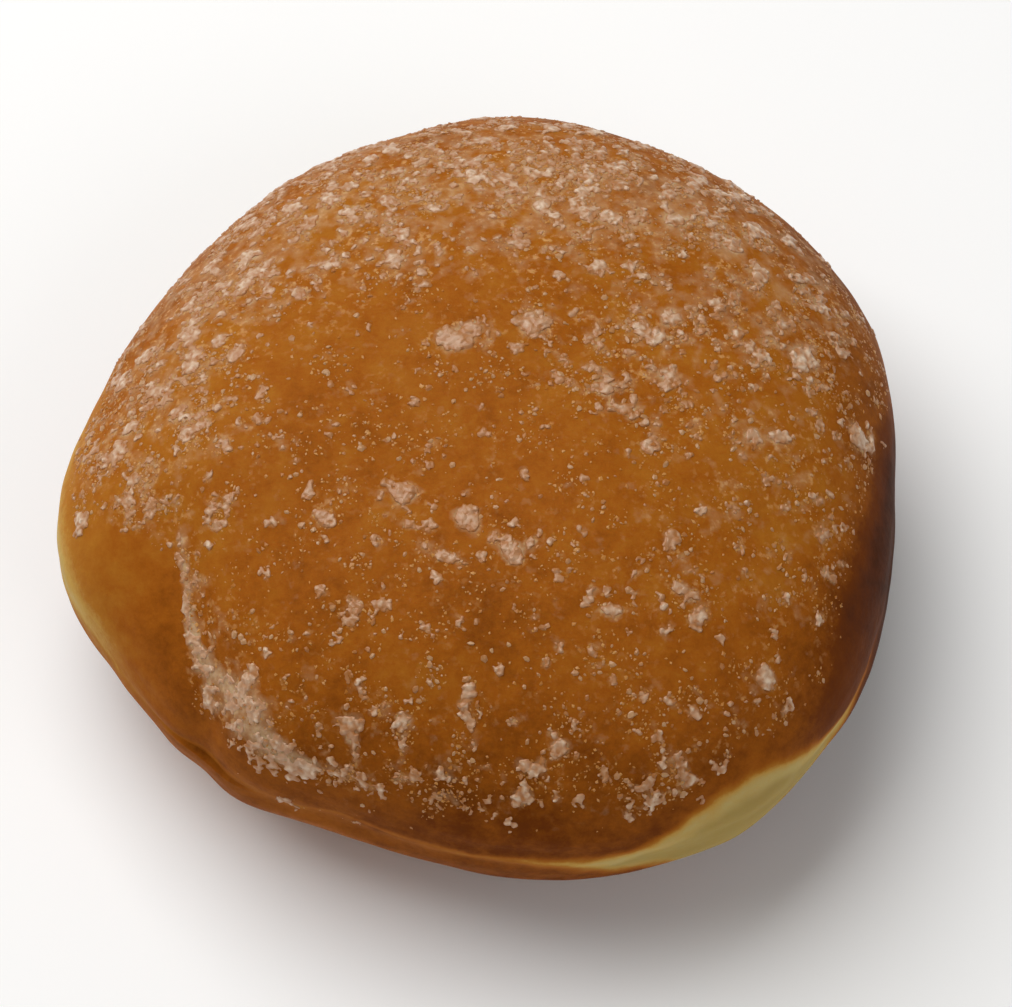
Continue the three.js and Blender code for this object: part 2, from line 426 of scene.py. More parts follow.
    def relief(self, tree: bpy.types.NodeTree, place: Socket) -> Socket:
        """Adds a fine orange peel, and wrinkles that are drawn out one way.

        Args:
            tree: The material's node tree.
            place: Where a point lies on the piece.

        Returns:
            The bent normal.
        """
        fine = {"Vector": place, "Detail": self.detail, "Scale": per_metre(self.peel_mm)}
        peel = add_node(tree, "TexNoise", fine).outputs[0]
        lengthwise = (1.0, self.wrinkle_stretch, self.wrinkle_stretch)
        stretched = add_node(tree, "Mapping", {"Vector": place, "Scale": lengthwise}).outputs[0]
        scale = per_metre(self.wrinkle_mm * self.wrinkle_stretch)
        drawn_out = {"Vector": stretched, "Detail": self.wrinkle_detail, "Scale": scale}
        fold = add_node(tree, "TexNoise", drawn_out).outputs[0]
        bump = {"Strength": 1.0, "Height": peel, "Distance": self.peel_height_mm * METRES}
        peeled = add_node(tree, "Bump", bump).outputs[0]
        bump = {"Strength": 1.0, "Height": fold, "Distance": self.wrinkle_height_mm * METRES}
        return add_node(tree, "Bump", {**bump, "Normal": peeled}).outputs[0]

    def material(self) -> bpy.types.Material:
        """Makes the crust's material.

        Returns:
            The material, which reads the browning, moist and film numbers on a piece's corners.
        """
        material, tree = new_material("fried_yeast_dough")
        place = add_node(tree, "TexCoord", {}).outputs["Object"]
        mottled = {"Detail": self.mottle_detail, "Roughness": self.mottle_roughness}
        scale = per_metre(self.mottle_mm)
        mottle = add_node(tree, "TexNoise", {"Vector": place, "Scale": scale, **mottled}).outputs[0]
        dull = add_node(tree, "MapRange", {"Value": mottle, **self.roughness.sockets("To")})
        crust = self.browned(tree, place, mottle)
        shader = add_node(
            tree,
            "BsdfPrincipled",
            {
                "Base Color": self.sugared(tree, place, crust),
                "Roughness": dull.outputs[0],
                "IOR": self.ior,
                "Normal": self.relief(tree, place),
                "Specular IOR Level": self.gloss,
                "Subsurface Weight": self.glow,
                "Subsurface Radius": self.glow_mm,
                "Subsurface Scale": METRES,
            },
        )
        add_node(tree, "OutputMaterial", {"Surface": shader.outputs[0]})
        return material


@dataclass(frozen=True)
class GranulatedSugar:
    """Refined sugar, boiled and dried to clear grains that cloud where they have clumped.

    The eye gets a pale body with the crust's gold shining through where it is thin, and small
    bright points from the flat faces.
    """

    name: str
    clear: str
    cloudy: str
    roughness: float
    sparkle: float = 0.5
    ior: float = 1.54
    glow: float = 0.15
    glow_mm: tuple[float, float, float] = (0.3, 0.22, 0.15)  # how far red, green and blue stray inside

    def material(self) -> bpy.types.Material:
        """Makes the sugar's material.

        Returns:
            The material, which reads how cloudy each corner of a piece is, from 0 to 1.
        """
        material, tree = new_material(self.name)
        cloud = add_node(tree, "Attribute", {}, attribute_name="cloud").outputs["Fac"]
        colours = {MIX_SHARE: cloud, MIX_FROM: linear(self.clear), MIX_TO: linear(self.cloudy)}
        body = add_node(tree, "Mix", colours, data_type="RGBA")
        shader = add_node(
            tree,
            "BsdfPrincipled",
            {
                "Base Color": body.outputs[MIX_RESULT],
                "Roughness": self.roughness,
                "IOR": self.ior,
                "Specular IOR Level": self.sparkle,
                "Subsurface Weight": self.glow,
                "Subsurface Radius": self.glow_mm,
                "Subsurface Scale": METRES,
            },
        )
        add_node(tree, "OutputMaterial", {"Surface": shader.outputs[0]})
        return material


@dataclass(frozen=True)
class MattCard:
    """Uncoated white card: the eye gets an even pale ground with no gloss."""

    colour: str = "#fefefd"
    roughness: float = 0.9

    def material(self) -> bpy.types.Material:
        """Makes the card's material.

        Returns:
            The material.
        """
        material, tree = new_material("matt_white_card")
        inputs = {"Base Color": linear(self.colour), "Roughness": self.roughness}
        shader = add_node(tree, "BsdfPrincipled", inputs)
        add_node(tree, "OutputMaterial", {"Surface": shader.outputs[0]})
        return material


@dataclass
class Dough:
    """The bun: a domed crown over a shallow waist and a flat foot, uneven as a hand-shaped piece is."""

    height: float = 40.0
    waist_height: float = 18.0
    half_width: float = 44.2
    half_depth: float = 44.0
    foot_sink: float = 3.0  # how far below the floor the round underside would reach without its foot
    foot_rounding: float = 1.6
    crown_fullness: float = 2.6  # 2 is an ellipse, and more is squarer
    swells: tuple[Swell, ...] = (
        Swell(30, 26, 2.6),
        Swell(80, 28, 1.9),
        Swell(110, 18, -1.6),
        Swell(147, 24, -2.7),
        Swell(191, 13, 1.4),
        Swell(207, 7, -0.6),
        Swell(217, 8, -1.1),
        Swell(227, 5, -1.0),
        Swell(248, 17, -2.0),
        Swell(270, 16, -1.5),
        Swell(308, 28, 3.4),
    )
    groove_depth: float = 0.5
    groove_half_height: float = 3.0
    groove_drift: float = 1.6
    groove_waves: tuple[tuple[int, float], ...] = ((2, 0.9), (3, 2.6))  # waves in a turn, and their starts
    groove_fade: tuple[Swell, ...] = (Swell(224, 18, -1.0),)
    crease_from: tuple[float, float] = (-33, -9)
    crease_to: tuple[float, float] = (-27, -34)
    crease_depth: float = 1.0
    crease_half_width: float = 3.0
    hump_height: float = 0.45
    hump_length: float = 27.0
    hump_waves: tuple[Wave, ...] = (
        Wave((1.0, 0.6, 0.0), 0.4),
        Wave((-0.5, 0.8, 0.4), 2.1),
        Wave((0.7, 0.0, 0.9), 4.2),
    )
    dent_depth: float = 0.16
    dent_mm: float = 9.0
    peel_depth: float = 0.07
    peel_mm: float = 3.2
    fold_depth: float = 0.3
    fold_length: float = 9.0
    fold_height: float = 2.4
    fold_reach: float = 6.0  # above and below the waist
    cells: int = 124  # along an edge of the cube that the skin is blown up from
    merge_digits: int = 6  # decimals that two corners share where the cells of two sides meet
    wander: float = 1.1
    wander_mm: float = 7.0
    ripple: float = 0.45
    ripple_mm: float = 2.0
    pale_top: tuple[Swell, ...] = (Swell(305.5, 12.5, 6.2), Swell(100, 42, 4.0))
    pale_bottom: tuple[Swell, ...] = (Swell(305, 22, -8.5), Swell(95, 50, -8.0), Swell(255, 34, -1.0))
    pale_top_height: float = 18.0
    pale_bottom_height: float = 21.0
    pale_bottom_wander: float = 1.6  # against that of the top edge
    pale_bottom_blur: float = 2.0  # against that of the top edge
    pale_edge: Span = Span(-1.5, 0.9)
    pale_strength: float = 0.95
    dry_edge: Span = Span(1.1, 2.4)  # below the band's top, where the dry line gives way to moist dough
    damp_folds: tuple[float, float, float] = (0.12, 0.12, 0.6)  # for each mm along x, y and z
    damp_level: float = 0.85
    damp_contrast: float = 0.3
    golden: tuple[Swell, ...] = (Swell(187, 22, -0.48), Swell(238, 16, -0.03))
    golden_height: float = 20.0
    golden_spread: float = 5.4
    scorch: tuple[Swell, ...] = (Swell(352, 27, 0.36),)
    scorch_top_height: float = 15.0
    scorch_top: tuple[Swell, ...] = (Swell(334, 27, 14.0), Swell(3, 13, 5.5))
    scorch_line: Span = Span(0.6, 2.6)
    scorch_line_share: float = 0.4
    scorch_fade: Span = Span(-4.0, 2.5)
    scorch_kept_off: float = 0.5  # share of the scorch that the pale band keeps off
    # Painted shade: darker crust in the crease beside the sugar bank, set a little to its left, where shade
    # falls.
    crease_shade: float = 0.05
    crease_shade_shift: float = 1.6
    crown_browning: float = 0.53
    # Darker towards the crown's edge: partly deeper browning, partly painted shade on the sloping rim.
    rim_browning_and_shade: float = 0.09
    rim: Span = Span(0.7, 0.98)  # share of the way from the middle to the waist
    foot_browning: float = 0.07
    foot_edge: Span = Span(0.5, -2.5)  # above the waist
    foot_tone: tuple[Swell, ...] = (Swell(240, 30, -0.08), Swell(217, 12, -0.09))
    # Patches of painted light and shade, with some uneven browning: lighter on the left lobe, the near right
    # and the far left, darker along the near edge, in the near middle and on the right middle.
    tone: tuple[Patch, ...] = (
        Patch(-6, -44, 24, 5.5, 0.1),
        Patch(-38, -6, 9, 16, -0.075),
        Patch(30, -12, 12, 16, -0.05),
        Patch(-22, 20, 16, 14, -0.03),
        Patch(2, -23, 20, 9, 0.055),
        Patch(22, -3, 9, 9, 0.03),
    )
    vertices: Array = field(init=False)
    faces: Array = field(init=False)
    middle: Array = field(init=False)
    surface: BVHTree = field(init=False)
    piece: bpy.types.Object = field(init=False)

    def waist_radius(self, angle: Array) -> Array:
        """Radius of the waist towards angles in radians."""
        ellipse = 1 / np.hypot(np.cos(angle) / self.half_width, np.sin(angle) / self.half_depth)
        return ellipse + swell_sum(angle, self.swells)

    def crease(self, x: Array, y: Array) -> Array:
        """Depth of the crease across the left shoulder, fading out at both ends.

        Args:
            x: Places seen from above, in the form's own x.
            y: The same places in the form's own y.

        Returns:
            The depth at each place.
        """
        from_x, from_y = self.crease_from
        run_x, run_y = self.crease_to[0] - from_x, self.crease_to[1] - from_y
        length = math.hypot(run_x, run_y)
        along = ((x - from_x) * run_x + (y - from_y) * run_y) / length**2
        aside = ((x - from_x) * run_y - (y - from_y) * run_x) / length
        fade = np.exp(-((2 * along - 1) ** 4))
        return self.crease_depth * fade * np.exp(-((aside / self.crease_half_width) ** 2))

    def humps(self, points: Array) -> Array:
        """Slow humps and hollows all over.

        Args:
            points: Places on the skin.

        Returns:
            The height at each place.
        """
        x, y, z = points.T
        total = np.zeros_like(x)
        for wave in self.hump_waves:
            way = x * wave.along[0] + y * wave.along[1] + z * wave.along[2]
            total += np.sin(FULL_TURN / self.hump_length * way + wave.start)
        return self.hump_height * total / len(self.hump_waves)

    def groove(self, angle: Array, rise: Array) -> Array:
        """Depth of the groove that wanders round the waist.

        Args:
            angle: Angles round the bun, in radians.
            rise: Heights above the waist.

        Returns:
            The depth at each place.
        """
        waves = sum(np.sin(count * angle + start) for count, start in self.groove_waves)
        drift = self.groove_drift * waves / len(self.groove_waves)
        depth = self.groove_depth * (1 + swell_sum(angle, self.groove_fade))
        return depth * np.exp(-(((rise - drift) / self.groove_half_height) ** 2))

    def fine_relief(self, points: Array) -> Array:
        """Dents, a fine orange peel, and folds that run along the waist.

        Args:
            points: Places on the skin.

        Returns:
            The height at each place.
        """
        dents = self.dent_depth * unevenness(points, self.dent_mm, Pattern.DENTS)
        peel = self.peel_depth * unevenness(points, self.peel_mm, Pattern.PEEL)
        along_waist = points * (1 / np.array([self.fold_length, self.fold_length, self.fold_height]))
        near_waist = np.exp(-(((points[:, 2] - self.waist_height) / self.fold_reach) ** 2))
        return dents + peel + self.fold_depth * near_waist * unevenness(along_waist, 1.0, Pattern.WAIST_FOLDS)

    def skin(self, directions: Array) -> Array:
        """Finds the skin's points.

        Args:
            directions: Unit directions from the middle of the waist.

        Returns:
            The point towards each direction.
        """
        angle = np.arctan2(directions[:, 1], directions[:, 0])
        share = np.hypot(directions[:, 0], directions[:, 1]).clip(0, 1)
        above = directions[:, 2] > 0
        reach = np.where(above, self.height - self.waist_height, self.waist_height + self.foot_sink)
        rise = np.sign(directions[:, 2]) * reach * np.sqrt(1 - share**self.crown_fullness)
        radius = self.waist_radius(angle)
        level = [radius * share * np.cos(angle), radius * share * np.sin(angle), self.waist_height + rise]
        points = np.stack(level, axis=1)
        out = self.crown_fullness * share ** (self.crown_fullness - 1) / radius
        normals = np.stack([out * np.cos(angle), out * np.sin(angle), 2 * rise / reach**2], axis=1)
        normals /= np.linalg.norm(normals, axis=1, keepdims=True)
        relief = self.humps(points) - self.groove(angle, rise) + self.fine_relief(points)
        relief -= np.where(above, self.crease(points[:, 0], points[:, 1]), 0)
        points += normals * relief[:, None]
        near = np.maximum(self.foot_rounding - np.abs(points[:, 2]), 0) / self.foot_rounding
        points[:, 2] = np.maximum(points[:, 2], 0) + near**2 * self.foot_rounding / 4
        return points

    def cube_grid(self) -> tuple[Array, Array]:
        """A cube's surface in square cells, blown up to a ball.

        Returns:
            Unit directions to the corners, and the four corners of each cell.
        """
        count = self.cells + 1
        ticks = np.tan(np.linspace(-math.pi / 4, math.pi / 4, count))
        u, v = (grid.ravel() for grid in np.meshgrid(ticks, ticks, indexing="ij"))
        ones = np.ones_like(u)
        sides = ((u, v, ones), (v, u, -ones), (ones, u, v), (-ones, v, u), (v, ones, u), (u, -ones, v))
        corners = np.concatenate([np.stack(side, axis=1) for side in sides])
        first = np.arange(count * count).reshape(count, count)
        cell = [first[:-1, :-1], first[1:, :-1], first[1:, 1:], first[:-1, 1:]]
        cell = np.stack([corner.ravel() for corner in cell], axis=1)
        cells = np.concatenate([cell + side * count * count for side in range(len(sides))])
        alike = corners.round(self.merge_digits)
        _, kept, merged = np.unique(alike, axis=0, return_index=True, return_inverse=True)
        directions = corners[kept] / np.linalg.norm(corners[kept], axis=1, keepdims=True)
        return directions, merged.ravel()[cells]

    def wobble(self, points: Array) -> Array:
        """How far the edges of the browned zones wander up and down."""
        broad = self.wander * unevenness(points, self.wander_mm, Pattern.WANDER)
        return broad + self.ripple * unevenness(points, self.ripple_mm, Pattern.RIPPLE)

    def pale_band(self, points: Array) -> tuple[Array, Array]:
        """The band round the waist that stayed above the oil.

        Args:
            points: Places on the skin.

        Returns:
            How pale the skin is there, and how moist, which is below the band's dry upper edge.
        """
        z = points[:, 2]
        angle = np.arctan2(points[:, 1], points[:, 0])
        wobble = self.wobble(points)
        top = self.pale_top_height + swell_sum(angle, self.pale_top) + wobble
        bottom = self.pale_bottom_height + swell_sum(angle, self.pale_bottom)
        bottom += self.pale_bottom_wander * wobble
        pale = self.pale_edge.step(np.minimum(top - z, (z - bottom) / self.pale_bottom_blur))
        folds = unevenness(points * np.array(self.damp_folds), 1.0, Pattern.DAMP_FOLDS)
        damp = (self.damp_level + self.damp_contrast * folds).clip(0, 1)
        return pale, pale**2 * self.dry_edge.step(top - z) * damp

    def browning_at(self, points: Array, pale: Array) -> Array:
        """How brown the crust is, with painted light and shade added in places.

        Args:
            points: Places on the skin.
            pale: How far each place lies in the pale band, from 0 to 1.

        Returns:
            The browning at each place, where 0 is raw dough and 1 is burnt, with the painted light and shade
            in it.
        """
        x, y, z = points.T
        angle = np.arctan2(y, x)
        share = np.hypot(x, y) / self.waist_radius(angle)
        # darker towards the rim, partly browning and partly painted shade
        brown = self.crown_browning + self.rim_browning_and_shade * self.rim.step(share)
        # painted light and shade in patches, with some uneven browning
        brown += patch_sum(x, y, self.tone) * (z > self.waist_height)
        # painted shade in the crease across the left shoulder
        brown += self.crease_shade * self.crease(x + self.crease_shade_shift, y)
        below = self.foot_edge.step(z - self.waist_height)
        brown += (self.foot_browning + swell_sum(angle, self.foot_tone)) * below
        level = np.exp(-(((z - self.golden_height) / self.golden_spread) ** 2))
        brown += swell_sum(angle, self.golden) * level
        deep = self.scorch_top_height + swell_sum(angle, self.scorch_top) + self.wobble(points) - z
        scorched = self.scorch_line_share * self.scorch_line.step(deep)
        scorched += (1 - self.scorch_line_share) * self.scorch_fade.step(deep)
        scorch = swell_sum(angle, self.scorch) * scorched * (1 - self.scorch_kept_off * pale)
        return brown * (1 - self.pale_strength * pale) + scorch

    def build(self) -> bpy.types.Object:
        """Makes the bun's mesh, dresses it and puts it in the part's place.

        Returns:
            The bun.
        """
        directions, self.faces = self.cube_grid()
        points = self.skin(directions)
        pale, moist = self.pale_band(points)
        browning = self.browning_at(points, pale)
        self.middle = (points.min(axis=0) + points.max(axis=0)) / 2 * np.array([1, 1, 0])
        self.vertices = points - self.middle
        self.surface = BVHTree.FromPolygons(self.vertices.tolist(), self.faces.tolist())
        self.piece = new_piece("dough", self.vertices, self.faces, True)
        mark_corners(self.piece, browning=browning, moist=moist)
        self.piece.data.materials.append(FriedCrust().material())
        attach(self.piece, BODY)
        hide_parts(NODE)
        return self.piece


class CrystalForm(Enum):
    """The shapes that sugar grows and breaks into, each as the ratios of its corners' x, y and z."""

    WORN = (1.0, 0.62, 0.0)
    SPLINTER = (1.0, 0.0, 0.0)

    def shape(self) -> tuple[Array, Array]:
        """Makes one crystal of this form.

        Returns:
            Its corners, in a box two units wide, and its triangles.
        """
        signs = np.array([[x, y, z] for x in (-1, 1) for y in (-1, 1) for z in (-1, 1)])
        corners = np.concatenate([signs * np.roll(self.value, turn) for turn in range(3)])
        hull = bmesh.new()
        for corner in np.unique(corners, axis=0):
            hull.verts.new(corner)
        bmesh.ops.convex_hull(hull, input=hull.verts)
        bmesh.ops.triangulate(hull, faces=hull.faces)
        hull.verts.index_update()
        found = np.array([vertex.co[:] for vertex in hull.verts])
        faces = np.array([[vertex.index for vertex in face.verts] for face in hull.faces])
        hull.free()
        return found, faces


def random_turns(count: int, draw: np.random.Generator) -> Array:
    """Draws rotations, spread evenly over all turns.

    Args:
        count: How many to draw.
        draw: The stream of random numbers.

    Returns:
        A three by three matrix for each.
    """
    drawn = draw.normal(size=(4, count))
    w, x, y, z = drawn / np.linalg.norm(drawn, axis=0)
    rows = [
        [1 - 2 * (y * y + z * z), 2 * (x * y - z * w), 2 * (x * z + y * w)],
        [2 * (x * y + z * w), 1 - 2 * (x * x + z * z), 2 * (y * z - x * w)],
        [2 * (x * z - y * w), 2 * (y * z + x * w), 1 - 2 * (x * x + y * y)],
    ]
    return np.array(rows).transpose(2, 0, 1)


@dataclass
class Heap:
    """Many small crystals of one form, made into one mesh from arrays."""

    form: CrystalForm
    draw: np.random.Generator
    flatness: float  # how much of a crystal's height is left, as it beds down in the skin
    skew: float = 0.3  # how far a corner may stand off from the true form
    sides: Span = Span(0.5, 1.3)  # a crystal's shortest and longest side, against its size

    def piece(self, name: str, places: Array, normals: Array, sizes: Array) -> bpy.types.Object:
        """Makes the crystals into one mesh, each with its own turn and cloudiness.

        Args:
            name: The piece's name.
            places: The crystals' middles, in millimetres.
            normals: The skin's outward directions there.
            sizes: The crystals' lengths, in millimetres.

        Returns:
            The new piece.
        """
        shape, triangles = self.form.shape()
        count = len(places)
        lengths = sizes[:, None, None] * self.sides.drawn(self.draw, (count, 1, 3))
        jitter = 1 + self.skew * self.draw.uniform(-1, 1, size=(count, len(shape), 3))
        bodies = shape * jitter * lengths / 2
        bodies = np.einsum("nij,nvj->nvi", random_turns(count, self.draw), bodies)
        rise = np.einsum("nvi,ni->nv", bodies, normals)
        bodies += places[:, None] - (1 - self.flatness) * rise[..., None] * normals[:, None]
        starts = np.arange(count) * len(shape)
        faces = (triangles + starts[:, None, None]).reshape(-1, 3)
        piece = new_piece(name, bodies.reshape(-1, 3), faces, False)
        mark_corners(piece, cloud=np.repeat(self.draw.uniform(size=count), len(shape)))
        return piece


@dataclass(frozen=True)
class Lump:
    """A lump of sugar on the crown, seen from above: middle, length, width, and turn in degrees."""

    x: float
    y: float
    length: float
    width: float
    turn: float


@dataclass(frozen=True)
class Cluster:
    """Crystals that stuck together: middle and outward direction on the skin, radius, and melted share."""

    point: Array
    normal: Array
    radius: float
    melted: float
    drag: float = 1.0  # how much longer it was dragged down a slope that stands upright

    def tangents(self) -> tuple[Array, Array]:
        """Finds two directions along the skin at the middle.

        Returns:
            A level one, and a longer one down the slope.
        """
        level = np.cross(self.normal, NEARLY_UP)
        level /= np.linalg.norm(level)
        return level, np.cross(level, self.normal) * (1 + self.drag * (1 - self.normal[2] ** 2))


@dataclass(frozen=True)
class Strays:
    """Clumps of one range of sizes, strewn where the coat is thick."""

    tries: int
    least: float  # density where the coat is thinnest, against 1 where it is thick
    radius: Span
    spacing: float  # least distance between two, against their radii together
    lobes: int
    melted: float
    crowding: float = 1.0  # above 1, they keep more to where the coat is thick


@dataclass
class SugarCoat:
    """The sugar on the crown: lumps, a bank along the crease, single crystals and fine grains."""

    dough: Dough
    seed: int = 7
    lumps: tuple[Lump, ...] = (
        Lump(-3, 6, 4.7, 3.5, 10),
        Lump(-1, 7, 2.5, 2.2, 60),
        Lump(5.5, 8, 3.5, 3.1, 40),
        Lump(-7.5, -11.5, 3.6, 2.7, 15),
        Lump(-1.5, -14.5, 4.3, 3.0, -30),
        Lump(3, -18, 3.4, 2.6, 80),
        Lump(-9.5, 17, 3.5, 2.7, 20),
        Lump(27, 21.5, 3.3, 2.8, -40),
        Lump(20.5, 23, 3.4, 2.2, 5),
        Lump(20, 10, 3.3, 2.2, 85),
        Lump(13, 1, 4.7, 2.5, 15),
        Lump(15, -2, 2.5, 2.0, 0),
        Lump(19.5, 3, 2.7, 2.0, -20),
        Lump(34, 7.5, 3.5, 2.9, 30),
        Lump(40, 0.5, 3.3, 3.1, 0),
        Lump(28.5, -3.5, 3.1, 1.8, -25),
        Lump(29.5, -28.5, 2.8, 2.7, 0),
        Lump(-13, -34, 3.0, 2.5, -15),
        Lump(-8, -33.5, 2.2, 1.8, 80),
        Lump(4, -40, 2.4, 2.0, 0),
        Lump(8, -36.5, 2.7, 2.0, 75),
        Lump(21, -38, 2.4, 2.0, 30),
        Lump(13, -24, 2.9, 2.0, -10),
        Lump(21, -21.5, 4.8, 1.9, -30),
        Lump(-35.5, 10, 3.4, 2.2, 10),
        Lump(-24.5, 20, 4.1, 2.7, 15),
        Lump(-11, 30, 3.4, 2.1, 5),
        Lump(7, 24, 2.7, 2.2, 40),
    )
    lobe_count: int = 6  # in each lump
    lobe_reach: float = 0.31  # of the lump's length and width, from its middle
    lobe_radius: Span = Span(0.18, 0.34)  # of the lump's width
    lobe_melted: float = 0.7
    satellite_count: int = 4  # round each lump
    satellite_reach: Span = Span(0.55, 1.1)  # of the lump's length, from its middle
    satellite_radius: Span = Span(0.25, 0.6)
    satellite_melted: float = 0.4
    bank_path: tuple[tuple[float, float], ...] = ((-31, -13), (-30.5, -35.5), (-17, -36.5))
    bank_chips: int = 140
    bank_least_width: float = 0.5
    bank_widening: float = 3.3
    bank_widest: float = 0.6  # share of the path where it is widest
    bank_taper: float = 0.24
    bank_crowding: float = 1.5  # above 1, chips keep more to the outer edge
    bank_jitter: Span = Span(-0.35, 0.35)
    bank_radius: Span = Span(0.2, 0.35)  # of a chip at the start of the path, and twice that at its end
    bank_melted: float = 0.3
    smear_count: int = 2  # behind each chip
    smear_radius: Span = Span(0.7, 1.3)  # where the bank is narrow, and where it is widest
    smear_melted: float = 0.07
    trail_chips: int = 34
    trail: tuple[float, float] = (244.0, 272.0)  # degrees, along the edge beyond the bank
    trail_width: float = 3.5
    trail_radius: Span = Span(0.2, 0.5)
    trail_melted: float = 0.4
    group_count: int = 170
    group_reach: float = 0.94  # share of the way from the middle to the waist
    group_radius: Span = Span(0.3, 0.65)
    group_melted: float = 0.3
    group_crease: float = 0.25  # share of the crease's depth that keeps groups out
    strays: tuple[Strays, ...] = (
        Strays(720, 0.01, Span(0.8, 1.8), 0.62, 5, 0.34, 1.6),
        Strays(1500, 0.03, Span(0.25, 0.55), 0.8, 1, 0.4),
    )
    stray_smallness: float = 1.6  # above 1, small ones are more common
    clump_reach: float = 0.8  # of a clump's radius, from its middle to those of its lobes
    clump_narrowing: float = 0.5  # of a clump's width, against its length
    clump_lobe: Span = Span(0.25, 0.5)  # of a clump's radius
    packing: float = 10.0  # crystals for each square mm of a cluster
    fewest_packed: int = 3
    packed_mm: Span = Span(0.3, 0.62)
    packed_growth: Span = Span(0.8, 1.3)  # of the crystals, in the smallest cluster and in one of 1 mm
    pile_height: float = 0.24  # of a cluster's radius
    pile_sink: float = 0.06
    lump_flatness: float = 0.65
    voxel: float = 0.15  # how finely the melted lumps are drawn
    kept_detail: float = 0.36  # share of the melted lumps' faces that is kept
    crystal_mm: float = 0.6  # across a crystal in the melted lumps
    # Each crystal in the lumps gets its own brightness, partly real cloudiness and partly painted light and
    # shade of its faces; the seams between crystals get painted shade.
    crystal_tone: float = 0.78
    crystal_contrast: float = 1.5
    clearest_crystal: float = 0.15
    seam: Span = Span(0.0, 0.35)  # from a crystal's edge inwards, where the painted shade between crystals fades out
    seam_shade: float = 0.45
    clouding: Span = Span(-0.02, 0.22)  # height above the skin, from clear to cloudy
    lump_shade: tuple[Patch, ...] = (Patch(-4, -5, 24, 21, 0.72),)  # painted shade: the lumps in the middle of the crown are clouded less, which dims them against the strong light on them
    smear_cloud: float = 0.6
    smear_evenness: float = 0.5
    edge_share: float = 0.96  # share of the way from the middle to the waist, where the coat ends
    edge: tuple[Swell, ...] = (Swell(206, 12, -0.18), Swell(343, 18, -0.075), Swell(306, 14, -0.035))
    edge_wander: float = 0.02
    edge_wander_mm: float = 4.0
    edge_fade: Span = Span(0.03, -0.01)
    density: tuple[Patch, ...] = (
        Patch(4, 29, 34, 10, 0.75),
        Patch(-33, 0, 8, 14, 0.5),
        Patch(-24, 18, 9, 9, 0.33),
        Patch(17, 5, 8, 7, 0.45),
        Patch(30, 12, 9, 8, 0.3),
        Patch(32, -5, 6, 9, 0.12),
        Patch(-13, -37, 13, 5, 0.2),
        Patch(25, -38, 7, 5, 0.3),
        Patch(20, -22, 5, 5, 0.12),
    )
    gathering: Span = Span(-0.2, 0.5)
    gathering_mm: float = 3.4  # from one place where crystals gather to the next
    gathering_least: float = 0.12  # density between those places
    gathering_gain: float = 1.7  # how much denser the coat is in them
    film_base: float = 0.13
    film_share: float = 0.3  # of the coat's density
    # Partly real sugar haze, partly painted sheen along the far and left edges of the crown.
    haze: tuple[Patch, ...] = (
        Patch(0, 20, 34, 9, 0.17),
        Patch(28, 14, 12, 10, 0.06),
        Patch(-27, -24, 5, 7, 0.12),
        Patch(-32, 18, 9, 9, 0.2),
        Patch(-35, 1, 8, 9, 0.1),
        Patch(-12, 37, 16, 5, 0.2),
        Patch(22, 27, 8, 6, 0.12),
        Patch(36, 20, 6, 8, 0.14),
        Patch(30, -8, 12, 16, 0.1),
    )
    crystal_count: int = 3400
    crystal_density: float = 0.1
    crystal_size: Span = Span(0.3, 0.75)
    crystal_sink: float = 0.08  # of a crystal's size
    crystal_flatness: float = 0.55
    grain_count: int = 11000
    grain_density: float = 0.3
    grain_size: Span = Span(0.2, 0.55)
    grain_flatness: float = 0.35
    lump_finish: GranulatedSugar = GranulatedSugar("clumped_granulated_sugar", "#a4631f", "#e0c8ad", 0.4)
    crystal_finish: GranulatedSugar = GranulatedSugar("single_sugar_crystals", "#a2611f", "#b88c60", 0.4)
    grain_finish: GranulatedSugar = GranulatedSugar("fine_sugar_grains", "#a66213", "#c48a48", 0.35, 0.3)

    def __post_init__(self) -> None:
        """Starts the stream of random numbers and the lists of clusters."""
        self.draw = np.random.default_rng(self.seed)
        self.clusters: list[Cluster] = []
        self.smears: list[Cluster] = []

    def on_crown(self, x: float, y: float) -> tuple[Array, Array]:
        """Finds the skin at a place seen from above.

        Args:
            x: The place in the form's own x.
            y: The place in the form's own y.

        Returns:
            The nearest point of the skin below, and the outward direction there.
        """
        above = Vector((x - self.dough.middle[0], y - self.dough.middle[1], 2 * self.dough.height))
        point, normal, _, _ = self.dough.surface.ray_cast(above, Vector((0, 0, -1)))
        if point is None:
            above.z = self.dough.waist_height
            point, normal, _, _ = self.dough.surface.find_nearest(above)
        return np.array(point), np.array(normal)

    def dipped(self, points: Array) -> Array:
        """Whether points of the skin went into the sugar.

        Args:
            points: Places in the form's own x, y and z.

        Returns:
            1 on the crown and 0 below the coat's edge, with a soft change between.
        """
        x, y, z = points.T
        angle = np.arctan2(y, x)
        share = np.hypot(x, y) / self.dough.waist_radius(angle)
        limit = self.edge_share + swell_sum(angle, self.edge)
        limit += self.edge_wander * unevenness(points, self.edge_wander_mm, Pattern.COAT_EDGE)
        return self.edge_fade.step(share - limit) * (z > self.dough.waist_height)

